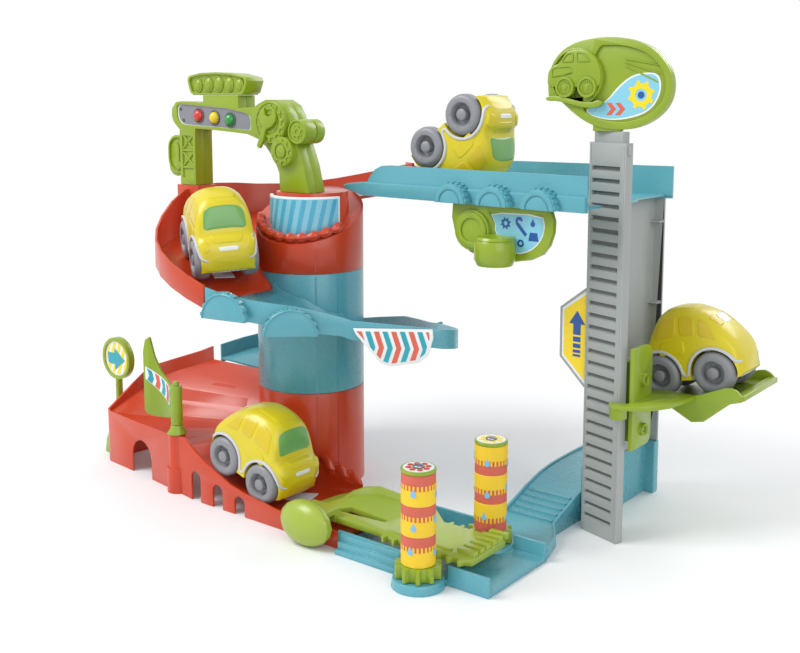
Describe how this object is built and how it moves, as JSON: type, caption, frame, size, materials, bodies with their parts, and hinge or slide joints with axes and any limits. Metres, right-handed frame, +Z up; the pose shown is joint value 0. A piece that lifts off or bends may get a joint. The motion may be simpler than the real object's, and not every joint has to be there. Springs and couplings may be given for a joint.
{
  "type": "toy parking garage",
  "caption": "Toy garage with a spiral road round a column, a bridge, a lift tower, a roller wash worked by a slider, signs and toy cars.",
  "frame": {"origin": "centre of the column's foot, on the floor", "axes": "+X along the front lane towards the tower, +Y to the back, +Z up"},
  "size_m": [0.712, 0.363, 0.4723],
  "materials": {
    "red": "moulded, satin",
    "teal": "moulded, satin",
    "lime": "moulded, glossy",
    "pale_lime": "moulded, glossy",
    "grey": "moulded, satin",
    "sticker": "printed label",
    "coral": "felt sleeve",
    "brush_yellow": "felt sleeve",
    "steel": "plain",
    "lamp_red": "glossy",
    "lamp_yellow": "glossy",
    "lamp_green": "glossy",
    "car_yellow": "moulded, glossy",
    "chassis_grey": "moulded",
    "tyre_grey": "moulded"
  },
  "bodies": {
    "garage": {"base_ramp": "red", "base_lane": "teal", "hump_ramp": "teal", "tower_foot": "teal", "column_lower": "red", "column_middle": "teal", "column_top": "red", "back_ramp": "teal", "spiral_ramp": "teal", "top_loop": "red", "bridge": "teal", "tower_channel": "grey", "tower_front_panel": "grey", "top_sign": "lime", "arrow_sign": "grey", "bridge_sign": "lime", "bowl_sign": "sticker", "column_sign": "sticker", "gantry_front_shell": "lime", "gantry_rear_shell": "lime", "light_bar": "lime", "arrow_paddle": "lime", "lamp_red": "lamp_red", "lamp_yellow": "lamp_yellow", "lamp_green": "lamp_green", "round_sign": "lime", "gate_post": "lime"},
    "slider": {"slider": "pale_lime"},
    "gate": {"gate_barrier": "lime"},
    "lift": {"lift_carriage": "lime", "lift_tray": "lime", "lift_screw_upper": "steel", "lift_screw_lower": "steel"},
    "roller_front": {"roller_front": "lime", "roller_sleeve_front": "coral", "roller_screw_front": "steel"},
    "roller_rear": {"roller_rear": "lime", "roller_sleeve_rear": "brush_yellow", "roller_screw_rear": "steel"},
    "car_1": {"car_1_shell": "car_yellow", "car_1_chassis": "chassis_grey"},
    "car_1_front_axle": {"car_1_front_wheels": "tyre_grey"},
    "car_1_rear_axle": {"car_1_rear_wheels": "tyre_grey"},
    "car_2": {"car_2_shell": "car_yellow", "car_2_chassis": "chassis_grey"},
    "car_2_front_axle": {"car_2_front_wheels": "tyre_grey"},
    "car_2_rear_axle": {"car_2_rear_wheels": "tyre_grey"},
    "car_3": {"car_3_shell": "car_yellow", "car_3_chassis": "chassis_grey"},
    "car_3_front_axle": {"car_3_front_wheels": "tyre_grey"},
    "car_3_rear_axle": {"car_3_rear_wheels": "tyre_grey"},
    "car_4": {"car_4_shell": "car_yellow", "car_4_chassis": "chassis_grey"},
    "car_4_front_axle": {"car_4_front_wheels": "tyre_grey"},
    "car_4_rear_axle": {"car_4_rear_wheels": "tyre_grey"}
  },
  "joints": [
    {"name": "slider_slide", "type": "slide", "parent": "garage", "child": "slider", "axis": [1, 0, 0], "range_m": [-0.03, 0]},
    {"name": "gate_hinge", "type": "hinge", "parent": "garage", "child": "gate", "pos_m": [-0.077, -0.128, 0.09], "axis": [0, 0, 1], "range_deg": [-80, 20]},
    {"name": "lift_slide", "type": "slide", "parent": "garage", "child": "lift", "axis": [0, 0, 1], "range_m": [-0.065, 0.199]},
    {"name": "roller_front_spin", "type": "hinge", "parent": "garage", "child": "roller_front", "pos_m": [0.263, -0.152, 0.05], "axis": [0, 0, 1], "continuous": true},
    {"name": "roller_rear_spin", "type": "hinge", "parent": "garage", "child": "roller_rear", "pos_m": [0.27, -0.05, 0.05], "axis": [0, 0, 1], "continuous": true},
    {"name": "car_1_lift_off", "type": "slide", "parent": "garage", "child": "car_1", "axis": [0, 0, 1], "range_m": [0, 0.05]},
    {"name": "car_1_front_spin", "type": "hinge", "parent": "car_1", "child": "car_1_front_axle", "pos_m": [-0.02113, -0.1069, 0.25552], "axis": [0.5264, 0.8487, 0.0504], "continuous": true},
    {"name": "car_1_rear_spin", "type": "hinge", "parent": "car_1", "child": "car_1_rear_axle", "pos_m": [-0.06654, -0.07961, 0.27031], "axis": [0.5264, 0.8487, 0.0504], "continuous": true},
    {"name": "car_2_lift_off", "type": "slide", "parent": "garage", "child": "car_2", "axis": [0, 0, 1], "range_m": [0, 0.05]},
    {"name": "car_2_front_spin", "type": "hinge", "parent": "car_2", "child": "car_2_front_axle", "pos_m": [0.05077, -0.102, 0.03624], "axis": [0, 1, 0], "continuous": true},
    {"name": "car_2_rear_spin", "type": "hinge", "parent": "car_2", "child": "car_2_rear_axle", "pos_m": [-0.00108, -0.102, 0.0546], "axis": [0, 1, 0], "continuous": true},
    {"name": "car_3_lift_off", "type": "slide", "parent": "lift", "child": "car_3", "axis": [0, 0, 1], "range_m": [0, 0.05]},
    {"name": "car_3_front_spin", "type": "hinge", "parent": "car_3", "child": "car_3_front_axle", "pos_m": [0.36096, 0.141, 0.1472], "axis": [0, -1, 0], "continuous": true},
    {"name": "car_3_rear_spin", "type": "hinge", "parent": "car_3", "child": "car_3_rear_axle", "pos_m": [0.41485, 0.141, 0.15819], "axis": [0, -1, 0], "continuous": true},
    {"name": "car_4_lift_off", "type": "slide", "parent": "garage", "child": "car_4", "axis": [0, 0, 1], "range_m": [0, 0.05]},
    {"name": "car_4_front_spin", "type": "hinge", "parent": "car_4", "child": "car_4_front_axle", "pos_m": [0.1803, 0.058, 0.40088], "axis": [0, -1, 0], "continuous": true},
    {"name": "car_4_rear_spin", "type": "hinge", "parent": "car_4", "child": "car_4_rear_axle", "pos_m": [0.13637, 0.058, 0.36778], "axis": [0, -1, 0], "continuous": true}
  ],
  "couplings": [
    {"joint": "roller_front_spin", "follows": "slider_slide", "rad_per_m": -52.632},
    {"joint": "roller_rear_spin", "follows": "slider_slide", "rad_per_m": 52.632}
  ]
}
